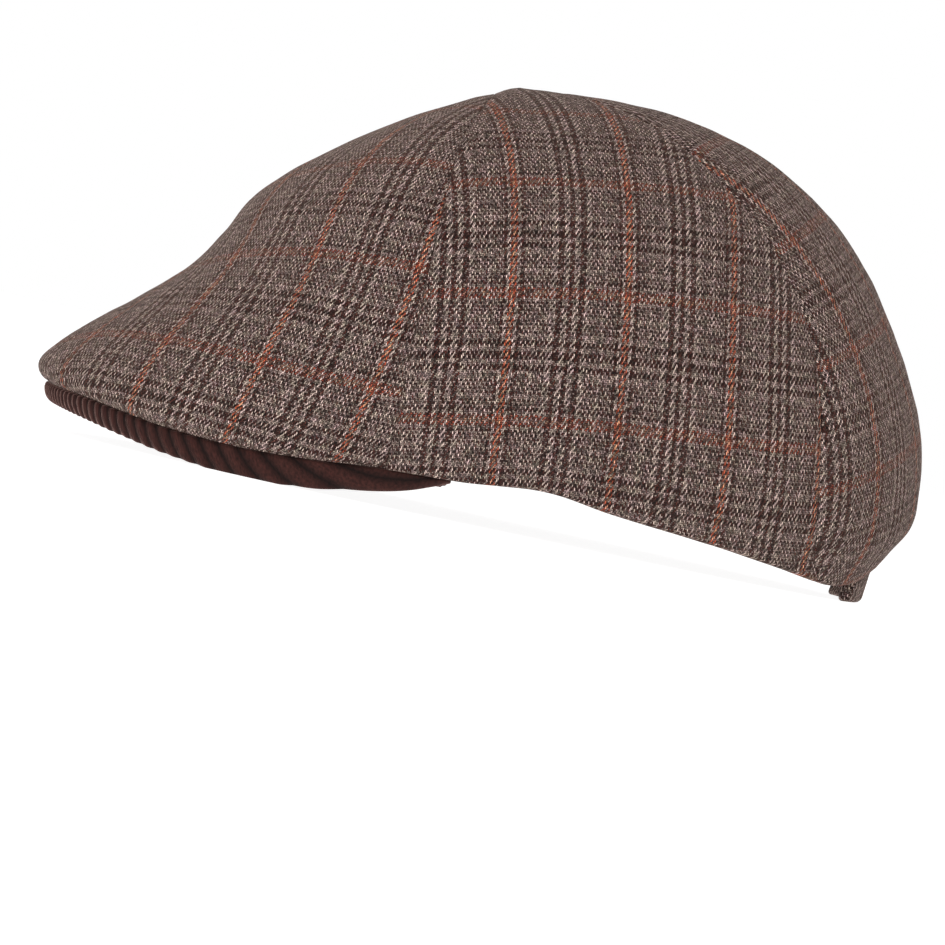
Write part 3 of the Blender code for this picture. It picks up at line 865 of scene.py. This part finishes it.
def check_cloth():
    """Wool twill in the glen check, yarn by yarn, on the cloth places of the UV map."""
    material, shader, g = new_material("check_cloth", {
        "Roughness": 0.9, "Specular IOR Level": 0.2,
        "Sheen Weight": 0.10, "Sheen Roughness": 0.5, "Sheen Tint": (1.0, 0.68, 0.53, 1.0),
    })
    uv = g.node("ShaderNodeUVMap", uv_map="cloth").outputs[0]
    warp_pitch, weft_pitch = WARP_REPEAT / 2 / len(WARP_CHART), WEFT_REPEAT / 2 / len(WEFT_CHART)
    sway = g.noise(uv, SWAY_WAVES, SWAY_DETAIL, Roughness=SWAY_ROUGHNESS)["Color"]
    sway = g.node("ShaderNodeSeparateColor", {0: sway}).outputs
    place = g.node("ShaderNodeSeparateXYZ", {0: uv}).outputs
    across = g.math("DIVIDE", place[0], warp_pitch)
    along = g.math("DIVIDE", place[1], weft_pitch)
    across = g.math("MULTIPLY_ADD", g.math("SUBTRACT", sway[0], 0.5), WARP_SWAY, across)
    along = g.math("MULTIPLY_ADD", g.math("SUBTRACT", sway[1], 0.5), WEFT_SWAY, along)
    warp, weft = g.math("FLOOR", across), g.math("FLOOR", along)

    # Twill: each yarn floats over two others, a step further on each row
    step = g.math("ADD", warp, weft)
    turn = g.math("FLOORED_MODULO", step, TWILL)
    warp_up = g.math("LESS_THAN", turn, FLOAT - 0.5)
    # From -1 to 1 across the yarn on top, and along its float
    warp_across = g.math("MULTIPLY_ADD", g.math("FRACT", across), 2.0, -1.0)
    warp_along = g.math("ADD", g.math("FRACT", along), g.math("SUBTRACT", turn, FLOAT / 2))
    weft_across = g.math("MULTIPLY_ADD", g.math("FRACT", along), 2.0, -1.0)
    weft_along = g.math("ADD", g.math("FRACT", across), g.math("SUBTRACT", turn, FLOAT * 3 / 2))
    # The yarn's twist leans each warp float over
    warp_across = g.math("MULTIPLY_ADD", warp_along, TWIST, warp_across)

    def arch(share, power):
        """1 in the middle of a yarn or float and 0 at its edges."""
        far = g.math("MINIMUM", g.math("ABSOLUTE", share), 1.0)
        return g.math("SUBTRACT", 1.0, g.math("POWER", far, power))

    warp_height = g.math("MULTIPLY", arch(warp_across, ROUND_ACROSS), arch(warp_along, ROUND_ALONG))
    weft_height = g.math("MULTIPLY", arch(weft_across, ROUND_ACROSS), arch(weft_along, ROUND_ALONG))
    # Painted shade: each float is darker towards its edges and ends, where it dips between its neighbours,
    # and the weft's lower floats are darker still
    warp_painted_shade = g.math("MULTIPLY_ADD", g.math("POWER", warp_height, PAINTED_SHADE_POWER), *WARP_PAINTED_SHADE)
    weft_painted_shade = g.math("MULTIPLY_ADD", g.math("POWER", weft_height, PAINTED_SHADE_POWER), *WEFT_PAINTED_SHADE)
    painted_shade = g.either(warp_up, weft_painted_shade, warp_painted_shade)
    height = g.either(warp_up, g.math("MULTIPLY", weft_height, WEFT_HEIGHT), warp_height)

    # Every float of yarn has its own shade, and here and there fibres of the other yarns
    number = g.either(warp_up, weft, warp)
    turn_number = g.math("FLOOR", g.math("DIVIDE", step, TWILL))
    float_at = g.node("ShaderNodeCombineXYZ", {0: number, 1: turn_number, 2: warp_up}).outputs[0]
    chance = g.node("ShaderNodeTexWhiteNoise", {"Vector": float_at}, noise_dimensions="3D").outputs
    stray = g.math("MULTIPLY", g.math("POWER", chance["Value"], STRAY_POWER), STRAY_SHARE)
    chance = g.node("ShaderNodeSeparateColor", {0: chance["Color"]}).outputs
    weft_colour = yarn_colour(g, weft, WEFT_CHART, WEFT_YARN, chance[2])
    warp_colour = yarn_colour(g, warp, WARP_CHART, WARP_YARN, chance[2])
    colour = g.mix(stray, g.mix(warp_up, weft_colour, warp_colour), STRAY_COLOUR)
    fibre = g.math("MULTIPLY_ADD", g.noise(uv, FIBRE_WAVES, 1.0)[0], *FIBRE_SHADE)
    shade = g.math("MULTIPLY", g.math("MULTIPLY_ADD", chance[1], *FLOAT_SHADE), fibre)
    # The colour takes each float's own shade and the painted shade of the weave's hollows
    tinted = g.tint(colour, g.math("MULTIPLY", shade, painted_shade))
    # Dyed fibres give the cloth faint patches of purple and olive
    hue = g.mix(g.noise(uv, PATCH_WAVES, 1.0)[0], PURPLE, OLIVE)
    cloth = g.node("ShaderNodeVectorMath", {0: tinted, 1: hue}, operation="MULTIPLY").outputs[0]
    g.put(shader.inputs["Base Color"], cloth)
    g.bump(shader, WEAVE_BUMP, WEAVE_BUMP_HEIGHT, height)
    return material


def corduroy():
    """Dark brown corduroy on wales that the mesh raises, its colour darkened in the grooves between them as
    painted shade.
    """
    material, shader, g = new_material("corduroy", {
        "Roughness": 0.9, "Specular IOR Level": 0.2,
        "Sheen Weight": 0.8, "Sheen Roughness": 0.35, "Sheen Tint": (0.62, 0.36, 0.31, 1.0),
    })
    uv = g.node("ShaderNodeUVMap", uv_map="cloth").outputs[0]
    place = g.node("ShaderNodeSeparateXYZ", {0: uv}).outputs
    phase = g.math("FRACT", g.math("DIVIDE", place[0], WALE))
    far = g.math("ABSOLUTE", g.math("MULTIPLY_ADD", phase, 2.0, -1.0))
    ridge = g.math("SUBTRACT", 1.0, g.math("POWER", far, RIDGE_POWER))
    stretched = g.node("ShaderNodeMapping", {"Vector": uv, "Scale": (1.0, PILE_STRETCH, 1.0)}).outputs[0]
    pile = g.noise(stretched, PILE_WAVES, PILE_DETAIL)[0]
    base = g.mix(g.noise(uv, CORD_PATCH_WAVES, CORD_PATCH_DETAIL)[0], CORD_DARK, CORD_LIGHT)
    # Painted shade: the colour is darker in the grooves between the wales than on their tops
    shade = g.math("MULTIPLY_ADD", ridge, *GROOVE_PAINTED_SHADE)
    shade = g.math("MULTIPLY", shade, g.math("MULTIPLY_ADD", pile, *PILE_SHADE))
    g.put(shader.inputs["Base Color"], g.tint(base, shade))
    height = g.math("MULTIPLY_ADD", pile, PILE_RELIEF, g.math("MULTIPLY", ridge, RIDGE_RELIEF))
    g.bump(shader, CORD_BUMP, CORD_BUMP_HEIGHT, height)
    return material


# Stage

def stage():
    """The camera, the glowing floor, the white surroundings and the lamps."""
    scene = bpy.context.scene
    place, right, up, forward = camera_axes()
    data = bpy.data.cameras.new("camera")
    data.lens = DISTANCE / PIXEL * SENSOR / PICTURE
    data.sensor_width = SENSOR
    data.clip_end = CLIP_END
    camera = bpy.data.objects.new("camera", data)
    matrix = Matrix.Identity(4)
    for column, axis in enumerate((right, up, -forward)):
        for row in range(3):
            matrix[row][column] = axis[row]
    matrix.translation = Vector(place)
    camera.matrix_world = matrix
    scene.collection.objects.link(camera)
    scene.camera = camera
    scene.view_settings.view_transform = "Standard"

    corners = [(x * FLOOR_REACH, y * FLOOR_REACH, 0.0) for x, y in ((-1, -1), (1, -1), (1, 1), (-1, 1))]
    mesh = bpy.data.meshes.new("floor")
    mesh.from_pydata(corners, [], [(0, 1, 2, 3)])
    mesh.materials.append(new_material("floor_paint", {
        "Base Color": (FLOOR_GREY, FLOOR_GREY, FLOOR_GREY, 1.0), "Roughness": 1.0,
        "Emission Color": WHITE, "Emission Strength": FLOOR_GLOW,
    })[0])
    floor = bpy.data.objects.new("floor", mesh)
    scene.collection.objects.link(floor)

    world = bpy.data.worlds.new("world")
    scene.world = world
    world.use_nodes = True
    g = Graph(world)
    direction = g.node("ShaderNodeTexCoord").outputs["Generated"]
    apart = g.node("ShaderNodeSeparateXYZ", {0: direction}).outputs

    def fading(value, start, end, least):
        """From 1 where the value is at the start to the least where it is at the end."""
        inputs = {"Value": value, "From Min": start, "From Max": end, "To Min": 1.0, "To Max": least}
        return g.node("ShaderNodeMapRange", inputs, interpolation_type="SMOOTHSTEP").outputs[0]

    # White behind the cap, as a lit backdrop, and dimmer round the rest of the room
    backdrop = fading(apart[0], BACKDROP_START, BACKDROP_END, ROOM_LIGHT)
    # A low white strip runs all round the horizon
    strip = fading(apart[2], HORIZON_HEIGHT, HORIZON_FADE, 0.0)
    background = world.node_tree.nodes["Background"]
    g.put(background.inputs["Color"], WHITE)
    g.put(background.inputs["Strength"], g.math("MAXIMUM", backdrop, strip))

    for name, round_it, up, power in LAMPS:
        lamp = bpy.data.lights.new(name, "AREA")
        lamp.size = LAMP_SIZE
        lamp.energy = power
        light = bpy.data.objects.new(name, lamp)
        raised = Matrix.Rotation(-math.radians(up), 3, "Y")
        toward = Matrix.Rotation(math.radians(round_it), 3, "Z") @ raised
        light.location = toward @ Vector((LAMP_DISTANCE, 0.0, 0.0))
        light.rotation_euler = (-light.location).to_track_quat("-Z", "Y").to_euler()
        scene.collection.objects.link(light)


def main():
    wool, cord = check_cloth(), corduroy()
    for kind in PANELS:
        check = check_places(kind)
        for side, name in ((1, "left"), (-1, "right")):
            piece = panel(kind, check, side, wool)
            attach(piece, "root")
            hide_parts(f"{kind}_panel_{name}")
    cover = peak(cord)
    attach(cover, "root")
    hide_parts("peak_underside")
    strip = band(wool)
    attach(strip, "root")
    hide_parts("back_band")
    stage()


main()
